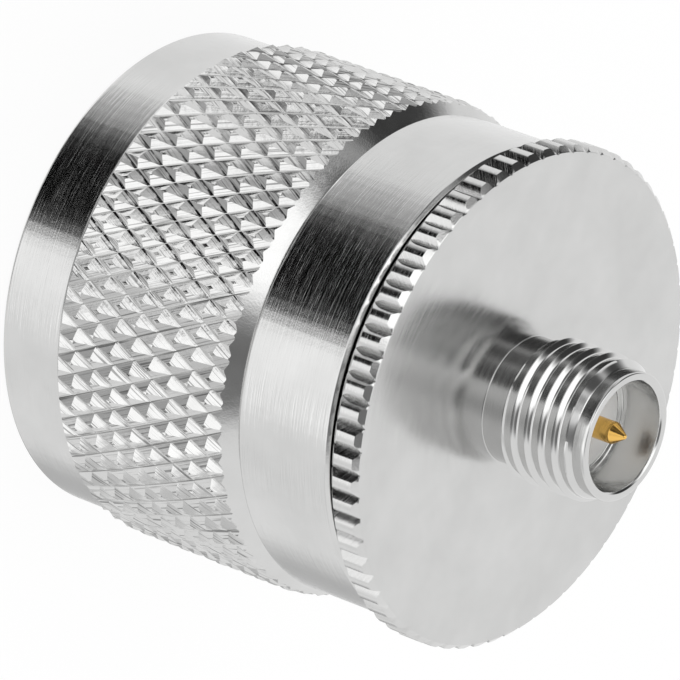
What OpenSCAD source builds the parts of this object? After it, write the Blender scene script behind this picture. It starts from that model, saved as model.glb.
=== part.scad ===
// Coaxial adapter: a plug with a knurled, free-spinning coupling nut at one end
// and a small threaded jack with a centre pin at the other.
// The part stands on the mouth of the nut, with the jack pointing up. Millimetres.

/* [Coupling nut] */
// Length of the nut, from its mouth to its rear face
nut_length = 17.65; // [16:0.05:20]
// Radius of the smooth rim at the mouth
rim_r = 10.44; // [10:0.02:11]
// Length of the smooth rim at the mouth
rim_length = 3.25; // [2:0.05:4.5]
// How far the smooth band at the rear lies below the rim
band_step = 0.07; // [0:0.01:0.3]
// Length of the sloped run-out from the knurl down to the rear band
groove_w = 0.3; // [0.2:0.05:0.6]
// Chamfer on the outer edge of the mouth
mouth_chamfer = 0.15; // [0.05:0.05:0.5]
// Chamfer on the outer edge of the rear face
rear_chamfer = 0.28; // [0.1:0.02:0.6]
// Minor radius of the coupling thread inside the nut
nut_thread_r = 7.45; // [7.2:0.01:7.7]
// Length of the coupling thread
nut_thread_length = 6.5; // [5:0.1:8]
// Lead-in chamfer at the start of the coupling thread
nut_lead_in = 0.5; // [0.2:0.05:1]
// Least depth of the undercut behind the coupling thread
undercut_depth = 0.6; // [0.3:0.05:0.9]
// Thickness of the inner lip that the nut turns on
lip_t = 2.35; // [1.5:0.05:3]

/* [Diamond knurl] */
// Length of the knurled band
knurl_length = 9.35; // [6:0.05:10]
// Number of diamonds round the nut
knurl_starts = 66; // [48:2:80]
// Half diamonds along the knurled band
knurl_rows = 9; // [6:1:11]
// Depth of the valleys between the diamonds
knurl_depth = 0.36; // [0.2:0.02:0.45]
// Height of the valleys above the smooth rim
knurl_lift = 0.06; // [0.04:0.01:0.12]
// Share of each diamond that its flat top takes
knurl_flat = 0.22; // [0.16:0.02:0.5]
// Share of the half diamonds' tops that the slope at both ends of the knurl takes
knurl_end = 0.75; // [0.4:0.05:0.85]

/* [Flange] */
// How far the teeth of the flange stand out past the rim of the nut
flange_step = 0.4; // [0.05:0.01:0.8]
// Thickness of the flange
flange_t = 1.45; // [1.2:0.05:2.5]
// Number of notches round the flange
notch_count = 66; // [40:1:72]
// Angle of the first notch
notch_start = 1.7; // [0:0.1:5]
// Depth of each notch
notch_depth = 0.3; // [0.1:0.02:0.36]
// Chamfer on the front edge of the flange
flange_chamfer = 0.24; // [0.1:0.02:0.5]
// Chamfer on the rear edge of the flange
flange_rear_chamfer = 0.26; // [0.05:0.01:0.5]

/* [Hub] */
// Radius of the hub that the nut turns on
hub_r = 6.35; // [6:0.05:6.8]
// Length of the hub past the snap ring
hub_nose = 1.5; // [0.8:0.05:2.5]
// Thickness of the snap ring
ring_t = 0.9; // [0.6:0.05:1.2]
// Radius over the snap ring
ring_r = 7.5; // [7.2:0.05:7.8]
// Depth of the snap ring's groove in the hub
ring_groove_depth = 0.65; // [0.4:0.05:0.9]
// Gap in the split snap ring
ring_split = 1.6; // [0.8:0.1:3]

/* [Jack barrel] */
// Radius over the thread of the jack
jack_r = 3.135; // [3.05:0.005:3.175]
// Radius of the plain neck at the flange
neck_r = 2.72; // [2.6:0.02:2.9]
// Length of the plain neck
neck_length = 1; // [0.6:0.05:1.5]
// Length of the thread on the jack
jack_thread_length = 3.7; // [3:0.05:5]
// Radius of the plain end of the jack
jack_end_r = 2.76; // [2.65:0.01:2.95]
// Length of the plain end of the jack
jack_end_length = 0.65; // [0.4:0.05:1.2]
// Chamfer at both ends of the thread
jack_thread_chamfer = 0.25; // [0.1:0.01:0.3]
// Chamfer on the rim of the jack
jack_rim_chamfer = 0.08; // [0.02:0.01:0.12]
// Radius of the socket in the jack
socket_r = 2.36; // [2.3:0.01:2.45]
// Depth of the socket
socket_depth = 2; // [1.6:0.05:2.5]

/* [Plug outer contact] */
// Outer radius of the contact sleeve
sleeve_r = 4.02; // [3.95:0.01:4.1]
// Wall of the contact sleeve
sleeve_wall = 0.5; // [0.4:0.02:0.6]
// How far the sleeve stands back from the mouth of the nut
sleeve_recess = 2.2; // [1.5:0.1:4]
// Length of the sleeve inside the hub
sleeve_seat = 3.1; // [2:0.1:4]
// Length of the bevel at the front of the sleeve
sleeve_bevel = 0.7; // [0.3:0.05:1]

/* [Seal] */
// Thickness of the sealing ring
seal_t = 1.5; // [1:0.1:2]
// Outer radius of the sealing ring
seal_r = 6.2; // [5.5:0.05:6.6]

/* [Insulators] */
// Length of the plug's insulator
plug_insulator_length = 5.6; // [4:0.1:7]
// Thickness of the web at the inner end of the plug's insulator
plug_web = 0.8; // [0.5:0.05:1.2]
// Radius of the jack's insulator
jack_insulator_r = 2.05; // [1.9:0.01:2.15]
// Radius of the collar that holds the jack's insulator
collar_r = 2.9; // [2.4:0.05:3.2]
// Thickness of that collar
collar_t = 1; // [0.6:0.05:1.4]
// Thickness of the web at the face of the jack's insulator
jack_web = 0.4; // [0.25:0.05:0.8]

/* [Centre contact] */
// Radius of the plug's pin
plug_pin_r = 0.825; // [0.8:0.005:0.84]
// Length of the plug's pin
plug_pin_length = 5.6; // [4.5:0.1:6.5]
// How far the plug's pin stands back from the front of the sleeve
plug_pin_recess = 1.2; // [0.2:0.1:2.5]
// Length of the rounded-off tip of the plug's pin
plug_pin_tip = 0.6; // [0.3:0.05:0.8]
// Radius of the shank behind the plug's pin
shank_r = 1.52; // [1.3:0.01:1.7]
// Radius of the stem inside the jack's insulator
stem_r = 0.635; // [0.58:0.005:0.7]
// Radius of the jack's pin
jack_pin_r = 0.475; // [0.44:0.005:0.5]
// How far the jack's pin stands back from the rim of the jack
jack_pin_recess = 0; // [0:0.05:0.5]
// Length of the pointed tip of the jack's pin
jack_pin_tip = 0.6; // [0.2:0.05:0.8]
// Radius of the blunt end of both pins
pin_end_r = 0.08; // [0.05:0.01:0.2]

/* [Fits] */
// Clearance between pieces that are pressed or seated together
seat_clearance = 0.02; // [0.01:0.01:0.05]
// Radial clearance between the nut and the hub
running_clearance = 0.05; // [0.02:0.01:0.1]
// Radial clearance between the snap ring and the undercut that it lies in
ring_clearance = 0.3; // [0.2:0.05:0.5]
// Gap between the nut's rear face and the flange
nut_gap = 0.4; // [0.05:0.05:0.6]
// Gap between the nut's lip and the snap ring
lip_gap = 0.1; // [0.05:0.05:0.3]

/* [Hidden] */
$fn = 128;

nickel = [0.80, 0.79, 0.76];
spring_steel = [0.55, 0.55, 0.56];
gold = [0.86, 0.63, 0.24];
ptfe = [0.93, 0.92, 0.89];
seal_rubber = [0.78, 0.25, 0.12];

// Heights, from the mouth of the nut upwards
knurl_top_z = rim_length + knurl_length;
groove_z = knurl_top_z + knurl_lift;
lip_z = nut_length - lip_t;
flange_z = nut_length + nut_gap;
face_z = flange_z + flange_t;
jack_thread_z = face_z + neck_length;
jack_end_z = jack_thread_z + jack_thread_length;
jack_rim_z = jack_end_z + jack_end_length;
socket_z = jack_rim_z - socket_depth;
ring_top_z = lip_z - lip_gap;
ring_z = ring_top_z - ring_t;
hub_z = ring_z - hub_nose;
sleeve_top_z = hub_z + sleeve_seat;
collar_z = sleeve_top_z + seat_clearance;
plug_insulator_z = sleeve_top_z - plug_insulator_length;
web_z = sleeve_top_z - plug_web;
plug_tip_z = sleeve_recess + plug_pin_recess;
shank_z = plug_tip_z + plug_pin_length;
jack_web_z = socket_z - jack_web;
jack_tip_z = jack_rim_z - jack_pin_recess;

// Radii that follow from another size
rear_band_r = rim_r - band_step;
flange_r = rim_r + flange_step;
lip_r = hub_r + running_clearance;
undercut_r = max(nut_thread_r + undercut_depth, ring_r + ring_clearance);
groove_r = rim_r - groove_w;
ring_seat_r = hub_r - ring_groove_depth;
sleeve_bore_r = sleeve_r - sleeve_wall;

// Knurl lattice
knurl_root_r = rim_r + knurl_lift;
knurl_crest_r = knurl_root_r + knurl_depth;
knurl_inner_r = rim_r - 2 * knurl_depth;
knurl_step = 360 / knurl_starts;
knurl_pitch_z = knurl_length / knurl_rows;

// A cut that must pass clean through a face runs this far beyond it
through = 0.5;

function polar(radius, angle, z) = [radius * cos(angle), radius * sin(angle), z];

// Angle of the valley crossing i in row j: odd rows are shifted by half a diamond
function crossing_angle(i, j) = (i + (j % 2) / 2) * knurl_step;
function row_z(j) = rim_length + j * knurl_pitch_z;
function wrap(i) = (i + knurl_starts) % knurl_starts;

// The flat top of the diamond between the crossings i and i + 1 of row j:
// its west, north, east and south corners
function diamond_top(i, j) =
    let (
        middle = crossing_angle(i, j) + knurl_step / 2,
        half_w = knurl_flat * knurl_step / 2,
        half_h = knurl_flat * knurl_pitch_z
    )
    [
        polar(knurl_crest_r, middle - half_w, row_z(j)),
        polar(knurl_crest_r, middle, row_z(j) + half_h),
        polar(knurl_crest_r, middle + half_w, row_z(j)),
        polar(knurl_crest_r, middle, row_z(j) - half_h)
    ];

// The top of a half diamond at the end row j: its west corner, its point and its east corner.
// Side is 1 where the half diamond points up and -1 where it points down.
function half_diamond_top(i, j, side) =
    let (
        middle = crossing_angle(i, j) + knurl_step / 2,
        half_h = knurl_flat * knurl_pitch_z,
        half_w = knurl_flat * knurl_step / 2 * (1 - knurl_end),
        slope_h = knurl_end * half_h
    )
    [
        polar(knurl_crest_r, middle - half_w, row_z(j) + side * slope_h),
        polar(knurl_crest_r, middle, row_z(j) + side * half_h),
        polar(knurl_crest_r, middle + half_w, row_z(j) + side * slope_h)
    ];

// Two triangles for each four-cornered face, given clockwise as seen from outside
function two_triangles(a, b, c, d) = [[a, b, c], [a, c, d]];

// Ring of raised diamonds: valleys cross at the lattice points, and each diamond
// rises from four valleys to a small flat top. Its inside is buried in the nut.
module diamond_knurl() {
    last = knurl_rows;
    function root(i, j) = j * knurl_starts + wrap(i);
    full_start = (last + 1) * knurl_starts;
    function top(i, j, corner) = full_start + ((j - 1) * knurl_starts + i) * 4 + corner;
    low_start = full_start + (last - 1) * knurl_starts * 4;
    function low(i, corner) = low_start + i * 3 + corner;
    high_start = low_start + knurl_starts * 3;
    function high(i, corner) = high_start + i * 3 + corner;
    inner_start = high_start + knurl_starts * 3;
    function inner_low(i) = inner_start + wrap(i);
    function inner_high(i) = inner_start + knurl_starts + wrap(i);
    each_start = [0 : knurl_starts - 1];

    points = [
        for (j = [0 : last], i = each_start) polar(knurl_root_r, crossing_angle(i, j), row_z(j)),
        for (j = [1 : last - 1], i = each_start) each diamond_top(i, j),
        for (i = each_start) each half_diamond_top(i, 0, 1),
        for (i = each_start) each half_diamond_top(i, last, -1),
        for (j = [0, last], i = each_start) polar(knurl_inner_r, crossing_angle(i, j), row_z(j))
    ];
    diamonds = [
        for (j = [1 : last - 1], i = each_start)
            let (
                west = root(i, j),
                east = root(i + 1, j),
                north = root(i + j % 2, j + 1),
                south = root(i + j % 2, j - 1),
                w = top(i, j, 0),
                n = top(i, j, 1),
                e = top(i, j, 2),
                s = top(i, j, 3)
            )
            each concat(
                two_triangles(w, n, e, s),
                two_triangles(west, north, n, w),
                two_triangles(north, east, e, n),
                two_triangles(east, south, s, e),
                two_triangles(south, west, w, s)
            )
    ];
    low_halves = [
        for (i = each_start)
            let (west = root(i, 0), east = root(i + 1, 0), north = root(i, 1))
            each concat(
                [[low(i, 0), low(i, 1), low(i, 2)]],
                two_triangles(west, north, low(i, 1), low(i, 0)),
                two_triangles(north, east, low(i, 2), low(i, 1)),
                two_triangles(east, west, low(i, 0), low(i, 2))
            )
    ];
    high_halves = [
        for (i = each_start)
            let (west = root(i, last), east = root(i + 1, last), south = root(i + last % 2, last - 1))
            each concat(
                [[high(i, 0), high(i, 2), high(i, 1)]],
                two_triangles(east, south, high(i, 1), high(i, 2)),
                two_triangles(south, west, high(i, 0), high(i, 1)),
                two_triangles(west, east, high(i, 2), high(i, 0))
            )
    ];
    closing = [
        for (i = each_start)
            each concat(
                two_triangles(root(i, 0), root(i + 1, 0), inner_low(i + 1), inner_low(i)),
                two_triangles(root(i, last), inner_high(i), inner_high(i + 1), root(i + 1, last)),
                two_triangles(inner_low(i), inner_low(i + 1), inner_high(i + 1), inner_high(i))
            )
    ];
    polyhedron(points = points, faces = concat(diamonds, low_halves, high_halves, closing), convexity = 4);
}

// Turned blank of the nut, without its knurl
module nut_blank() {
    rotate_extrude()
        polygon([
            [nut_thread_r + nut_lead_in, 0],
            [rim_r - mouth_chamfer, 0],
            [rim_r, mouth_chamfer],
            [rim_r, groove_z],
            [groove_r, groove_z + groove_w],
            [rear_band_r, groove_z + groove_w],
            [rear_band_r, nut_length - rear_chamfer],
            [rear_band_r - rear_chamfer, nut_length],
            [lip_r, nut_length],
            [lip_r, lip_z],
            [undercut_r, lip_z],
            [undercut_r, nut_lead_in + nut_thread_length + undercut_r - nut_thread_r],
            [nut_thread_r, nut_lead_in + nut_thread_length],
            [nut_thread_r, nut_lead_in]
        ]);
}

module coupling_nut() {
    color(nickel) {
        nut_blank();
        diamond_knurl();
    }
}

// Flange with straight notches round its edge, cut square, and both edges chamfered
module toothed_flange() {
    notch_step = 360 / notch_count;
    notch_half = asin(notch_depth / flange_r);
    intersection() {
        translate([0, 0, flange_z])
            linear_extrude(flange_t)
                polygon([
                    for (i = [0 : notch_count - 1], corner = [-1, 0, 1])
                        let (
                            angle = notch_start + i * notch_step + corner * notch_half,
                            radius = corner == 0 ? flange_r - notch_depth : flange_r
                        )
                        [radius * cos(angle), radius * sin(angle)]
                ]);
        rotate_extrude()
            polygon([
                [0, flange_z],
                [flange_r - flange_rear_chamfer, flange_z],
                [flange_r + through, flange_z + flange_rear_chamfer + through],
                [flange_r + through, face_z - flange_chamfer - through],
                [flange_r - flange_chamfer, face_z],
                [0, face_z]
            ]);
    }
}

// Hub below the flange and jack barrel above it, solid
module hub_and_barrel() {
    rotate_extrude()
        polygon([
            [0, hub_z],
            [hub_r, hub_z],
            [hub_r, ring_z - seat_clearance],
            [ring_seat_r, ring_z - seat_clearance],
            [ring_seat_r, ring_top_z + seat_clearance],
            [hub_r, ring_top_z + seat_clearance],
            [hub_r, face_z - flange_t / 2],
            [neck_r, face_z - flange_t / 2],
            [neck_r, jack_thread_z],
            [jack_r - jack_thread_chamfer, jack_thread_z],
            [jack_r, jack_thread_z + jack_thread_chamfer],
            [jack_r, jack_end_z - jack_thread_chamfer],
            [jack_r - jack_thread_chamfer, jack_end_z],
            [jack_end_r, jack_end_z],
            [jack_end_r, jack_rim_z - jack_rim_chamfer],
            [jack_end_r - jack_rim_chamfer, jack_rim_z],
            [0, jack_rim_z]
        ]);
}

// Stepped bore through the body: sleeve seat, collar seat, insulator passage and socket
module body_bore() {
    passage_r = jack_insulator_r + seat_clearance;
    rotate_extrude()
        polygon([
            [0, hub_z - through],
            [sleeve_r + seat_clearance, hub_z - through],
            [sleeve_r + seat_clearance, collar_z],
            [collar_r + seat_clearance, collar_z],
            [collar_r + seat_clearance, collar_z + collar_t],
            [passage_r, collar_z + collar_t],
            [passage_r, socket_z],
            [socket_r, socket_z],
            [socket_r, jack_rim_z - jack_rim_chamfer],
            [socket_r + jack_rim_chamfer + through, jack_rim_z + through],
            [0, jack_rim_z + through]
        ]);
}

module adapter_body() {
    color(nickel)
        difference() {
            union() {
                toothed_flange();
                hub_and_barrel();
            }
            body_bore();
        }
}

module outer_contact() {
    color(nickel)
        rotate_extrude()
            polygon([
                [sleeve_bore_r, sleeve_recess],
                [sleeve_r - sleeve_wall / 2, sleeve_recess],
                [sleeve_r, sleeve_recess + sleeve_bevel],
                [sleeve_r, sleeve_top_z],
                [sleeve_bore_r, sleeve_top_z]
            ]);
}

module snap_ring() {
    color(spring_steel)
        difference() {
            translate([0, 0, ring_z])
                cylinder(h = ring_t, r = ring_r);
            translate([0, 0, ring_z - through])
                cylinder(h = ring_t + 2 * through, r = ring_seat_r + seat_clearance);
            translate([0, -ring_split / 2, ring_z - through])
                cube([ring_r + through, ring_split, ring_t + 2 * through]);
        }
}

module seal() {
    color(seal_rubber)
        difference() {
            translate([0, 0, hub_z - seal_t])
                cylinder(h = seal_t, r = seal_r);
            translate([0, 0, hub_z - seal_t - through])
                cylinder(h = seal_t + 2 * through, r = sleeve_r + seat_clearance);
        }
}

module plug_insulator() {
    color(ptfe)
        rotate_extrude()
            polygon([
                [shank_r + seat_clearance, plug_insulator_z],
                [sleeve_bore_r - seat_clearance, plug_insulator_z],
                [sleeve_bore_r - seat_clearance, sleeve_top_z],
                [stem_r + seat_clearance, sleeve_top_z],
                [stem_r + seat_clearance, web_z],
                [shank_r + seat_clearance, web_z]
            ]);
}

module jack_insulator() {
    color(ptfe)
        rotate_extrude()
            polygon([
                [stem_r + seat_clearance, collar_z],
                [collar_r, collar_z],
                [collar_r, collar_z + collar_t],
                [jack_insulator_r, collar_z + collar_t],
                [jack_insulator_r, socket_z],
                [jack_pin_r + seat_clearance, socket_z],
                [jack_pin_r + seat_clearance, jack_web_z],
                [stem_r + seat_clearance, jack_web_z]
            ]);
}

// One turned contact: plug pin, shank, stem and jack pin
module centre_contact() {
    color(gold)
        rotate_extrude()
            polygon([
                [0, plug_tip_z],
                [pin_end_r, plug_tip_z],
                [plug_pin_r, plug_tip_z + plug_pin_tip],
                [plug_pin_r, shank_z],
                [shank_r, shank_z],
                [shank_r, web_z - seat_clearance],
                [stem_r, web_z - seat_clearance],
                [stem_r, jack_web_z - seat_clearance],
                [jack_pin_r, jack_web_z - seat_clearance],
                [jack_pin_r, jack_tip_z - jack_pin_tip],
                [pin_end_r, jack_tip_z],
                [0, jack_tip_z]
            ]);
}

coupling_nut();
adapter_body();
outer_contact();
snap_ring();
seal();
plug_insulator();
jack_insulator();
centre_contact();
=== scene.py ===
"""Looks of a coaxial adapter: a plug with a knurled coupling nut and a small threaded jack.

Each piece is a turned, knurled or threaded skin worked out with numpy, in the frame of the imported
solids: the nut's mouth stands on z = 0 and the jack points up. The classes hold their sizes in
millimetres, which become metres when a mesh is made.
"""

import logging
import math
from dataclasses import dataclass
from enum import Enum

import bpy
import numpy as np
from mathutils import Matrix, Vector
from numpy.typing import NDArray


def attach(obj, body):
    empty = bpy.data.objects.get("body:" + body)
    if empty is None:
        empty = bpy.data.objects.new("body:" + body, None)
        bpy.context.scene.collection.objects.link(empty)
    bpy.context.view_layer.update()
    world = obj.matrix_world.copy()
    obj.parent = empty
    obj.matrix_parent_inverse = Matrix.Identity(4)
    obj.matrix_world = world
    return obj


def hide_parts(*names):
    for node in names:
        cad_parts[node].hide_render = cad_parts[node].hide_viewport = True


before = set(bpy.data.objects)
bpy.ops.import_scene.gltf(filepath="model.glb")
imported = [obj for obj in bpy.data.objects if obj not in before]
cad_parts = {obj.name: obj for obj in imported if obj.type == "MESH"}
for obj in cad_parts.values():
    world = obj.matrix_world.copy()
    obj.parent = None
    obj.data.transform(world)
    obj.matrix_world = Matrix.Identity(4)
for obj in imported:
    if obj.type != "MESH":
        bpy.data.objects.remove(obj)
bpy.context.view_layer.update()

LOG = logging.getLogger("coaxial_adapter")
MM = 0.001
WELD_MM = 1e-5
WALL = 0.0107
FULL_TURN = 2.0 * math.pi
SHARP_EDGE = math.radians(37.0)
FACET_EDGE = math.radians(14.0)

Numbers = NDArray[np.float64]
Indices = NDArray[np.int64]
Colour = tuple[float, float, float]


class Body(Enum):
    """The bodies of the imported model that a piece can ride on."""

    ADAPTER = "adapter"
    NUT = "nut"


class Slot(Enum):
    """The record's material slots."""

    NUT = "nickel_nut"
    BODY = "nickel_body"
    CONTACT = "nickel_contact"
    RING = "spring_steel"
    SEAL = "seal_rubber"
    INSULATOR = "insulator_white"
    GOLD = "gold_contact"


# Skins


@dataclass
class Skin:
    """A closed skin of triangles.

    Attributes:
        points: One row of x, y and z for each point, in millimetres.
        triangles: One row of three point numbers for each triangle.
    """

    points: Numbers
    triangles: Indices

    def welded(self) -> "Skin":
        """Merges points that share a place, and drops triangles that lose an edge by it.

        Returns:
            The same skin without doubles.
        """
        keys = np.round(self.points / WELD_MM).astype(np.int64)
        _, first, inverse = np.unique(keys, axis=0, return_index=True, return_inverse=True)
        a, b, c = inverse.reshape(-1)[self.triangles].T
        kept = (a != b) & (b != c) & (c != a)
        return Skin(self.points[first], np.stack([a, b, c], axis=1)[kept])

    def facing_out(self) -> "Skin":
        """Turns all triangles round if the volume that they enclose comes out negative."""
        p, q, r = (self.points[self.triangles[:, k]] for k in range(3))
        volume = np.einsum("ij,ij->i", p, np.cross(q, r)).sum()
        return self if volume > 0 else Skin(self.points, self.triangles[:, ::-1])

    def to_object(self, name: str) -> bpy.types.Object:
        """Makes a mesh object in metres, smooth but for its sharp edges.

        Args:
            name: Name of the object and of its mesh.

        Returns:
            The new object, linked to the scene, at the origin.
        """
        skin = self.welded().facing_out()
        mesh = bpy.data.meshes.new(name)
        mesh.from_pydata((skin.points * MM).tolist(), [], skin.triangles.tolist())
        mesh.polygons.foreach_set("use_smooth", np.ones(len(mesh.polygons), dtype=bool))
        mesh.set_sharp_from_angle(angle=SHARP_EDGE)
        mesh.update()
        piece = bpy.data.objects.new(name, mesh)
        shading = piece.modifiers.new("shading", "WEIGHTED_NORMAL")
        shading.keep_sharp = True
        bpy.context.scene.collection.objects.link(piece)
        return piece


def rounded(corners: list[tuple[float, float, float]], steps: int = 4) -> Numbers:
    """Rounds the corners of a closed profile.

    Each corner C turns into the parabola (1-t)(1-t)A + 2t(1-t)C + ttB, where A and B lie on the
    edges before and after the corner, at the corner's own set-back from it. One more point on each
    of these edges, twice as far off, keeps the shading of the corner out of the flat beside it.

    Args:
        corners: Radius, height and set-back of each corner, in order round the profile.
        steps: Straight pieces in each parabola.

    Returns:
        Radius and height of each point, as one curve for each corner.
    """
    table = np.array(corners, dtype=float)
    corner, set_back = table[:, :2], table[:, 2:]
    before = np.roll(corner, 1, axis=0) - corner
    after = np.roll(corner, -1, axis=0) - corner
    before *= set_back / np.linalg.norm(before, axis=1, keepdims=True)
    after *= set_back / np.linalg.norm(after, axis=1, keepdims=True)
    t = np.linspace(0.0, 1.0, steps + 1)[None, :, None]
    curve = corner[:, None] + (1 - t) ** 2 * before[:, None] + t**2 * after[:, None]
    first, last = (corner + 2 * before)[:, None], (corner + 2 * after)[:, None]
    return np.concatenate([first, curve, last], axis=1)


def profile_of(curves: Numbers) -> Numbers:
    """Strings the curves of some corners together into one profile."""
    return curves.reshape(-1, 2)


def ring_points(radius: Numbers, angle: Numbers, height: Numbers) -> Numbers:
    """Places points from cylinder coordinates: x = r cos a, y = r sin a, z = h."""
    r, a, h = np.broadcast_arrays(radius, angle, height)
    return np.stack([r * np.cos(a), r * np.sin(a), h], axis=-1).reshape(-1, 3)


def wrapped(grid: Indices) -> Indices:
    """Repeats a grid's first column after its last, so that the skin closes round the axis."""
    return np.concatenate([grid, grid[:, :1]], axis=1)


def stitched(grid: Indices, points: Numbers) -> Indices:
    """Two triangles for each cell of a grid of point numbers.

    A cell is split along the diagonal whose middle lies further from the axis, so that edges that
    run slantwise over the grid come out as ridges.

    Args:
        grid: Point numbers by row and column.
        points: The points that they name.

    Returns:
        The triangles.
    """
    a, b, c, d = grid[:-1, :-1], grid[:-1, 1:], grid[1:, 1:], grid[1:, :-1]
    reach = np.hypot(points[:, 0], points[:, 1])
    straight = (reach[a] + reach[c] >= reach[b] + reach[d])[..., None]
    first = np.where(straight, np.stack([a, b, c], -1), np.stack([a, b, d], -1))
    second = np.where(straight, np.stack([a, c, d], -1), np.stack([b, c, d], -1))
    return np.concatenate([first.reshape(-1, 3), second.reshape(-1, 3)])


def turned_skin(curves: Numbers, columns: int = 160) -> Skin:
    """Carries a closed profile round the axis.

    Args:
        curves: The rounded corners of the profile, in order.
        columns: Points round the axis.

    Returns:
        The closed skin.
    """
    profile = profile_of(curves)
    angle = np.arange(columns) * FULL_TURN / columns
    points = ring_points(profile[:, :1], angle[None], profile[:, 1:])
    grid = np.arange(len(points)).reshape(len(profile), columns)
    grid = wrapped(np.concatenate([grid, grid[:1]]))
    return Skin(points, stitched(grid, points))


def numbered(start: int, rows: int, columns: int) -> Indices:
    """Point numbers of a block of rows, counted on from a start."""
    return start + np.arange(rows * columns).reshape(rows, columns)


def cut_to_cone(skin: Skin, lean: float, total: float) -> Skin:
    """Cuts a skin off at the cone on which the radius and a multiple of the height add up to a total.

    A triangle that crosses the cone is split there: the cut lies on each edge where the sum, taken as
    even along the edge, reaches the total. Points beyond are drawn in to the cone.

    Args:
        skin: The skin to cut.
        lean: The multiple of the height.
        total: The sum on the cone.

    Returns:
        The skin, with the points of the cut after the rest.
    """
    points, triangles = skin.points, skin.triangles
    past = np.hypot(points[:, 0], points[:, 1]) + lean * points[:, 2] - total
    beyond = past[triangles] > 0
    split = beyond.any(axis=1) & ~beyond.all(axis=1)
    lone = np.where(beyond.sum(axis=1) == 1, beyond.argmax(axis=1), beyond.argmin(axis=1))[split]
    a, b, c = np.take_along_axis(triangles[split], (lone[:, None] + np.arange(3)) % 3, axis=1).T
    cuts = []
    for other in (b, c):
        low, high = np.minimum(a, other), np.maximum(a, other)
        share = (past[low] / (past[low] - past[high]))[:, None]
        cuts.append(points[low] + share * (points[high] - points[low]))
    p = len(points) + np.arange(len(a))
    q = p + len(a)
    points = np.concatenate([points, *cuts])
    inward = (total - lean * points[:, 2]) / np.hypot(points[:, 0], points[:, 1])
    points[:, :2] *= np.minimum(1.0, inward)[:, None]
    pieces = [np.stack(part, -1) for part in ((a, p, q), (p, b, c), (p, c, q))]
    return Skin(points, np.concatenate([triangles[~split], *pieces]))


@dataclass(frozen=True)
class Thread:
    """A right-handed helical thread, cut off at a ring at both ends.

    Attributes:
        pitch: Rise of one turn.
        crest: Share of the pitch that the flat crest takes.
        flank: Share of the pitch that one flank takes.
        rows: Rows of points for each turn.
    """

    pitch: float
    crest: float
    flank: float
    rows: int

    def height(self, angle: Numbers, z: Numbers, start: float) -> Numbers:
        """Height of the thread from 0 in the valley to 1 on the crest.

        The distance from the crest's middle is a triangle wave of z / pitch - angle / turn, and the
        height falls from 1 to 0 along the flank.

        Args:
            angle: Angles round the axis.
            z: Heights along the axis.
            start: Height of a crest's middle at angle 0.

        Returns:
            The height at each place.
        """
        phase = (z - start) / self.pitch - angle / FULL_TURN
        away = np.abs(phase - np.round(phase))
        return np.clip(1.0 - (away - self.crest / 2) / self.flank, 0.0, 1.0)

    def places(self, angle: Numbers, bottom: float, top: float) -> Numbers:
        """Heights of rows that climb with the helix and are held between two rings.

        Row k stands at bottom + pitch (k / rows + angle / turn - 1), cut off at both rings, so the
        first row is the lower ring and the last row is the upper ring.

        Args:
            angle: Angles of the columns, rising from the first by less than one turn.
            bottom: Height of the lower ring.
            top: Height of the upper ring.

        Returns:
            A height for each row and column.
        """
        count = self.rows * (2 + math.ceil((top - bottom) / self.pitch)) + 1
        turn = (angle - angle[0])[None] / FULL_TURN
        climb = np.arange(count)[:, None] / self.rows + turn - 1.0
        return np.clip(bottom + self.pitch * climb, bottom, top)

    def grid(self, start: int, rows: int, columns: int) -> Indices:
        """Point numbers of the helical rows, joined to the row one turn higher at the seam."""
        block = numbered(start, rows, columns)
        higher = np.minimum(np.arange(rows) + self.rows, rows - 1)
        return np.concatenate([block, block[higher, :1]], axis=1)


# Finishes


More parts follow.
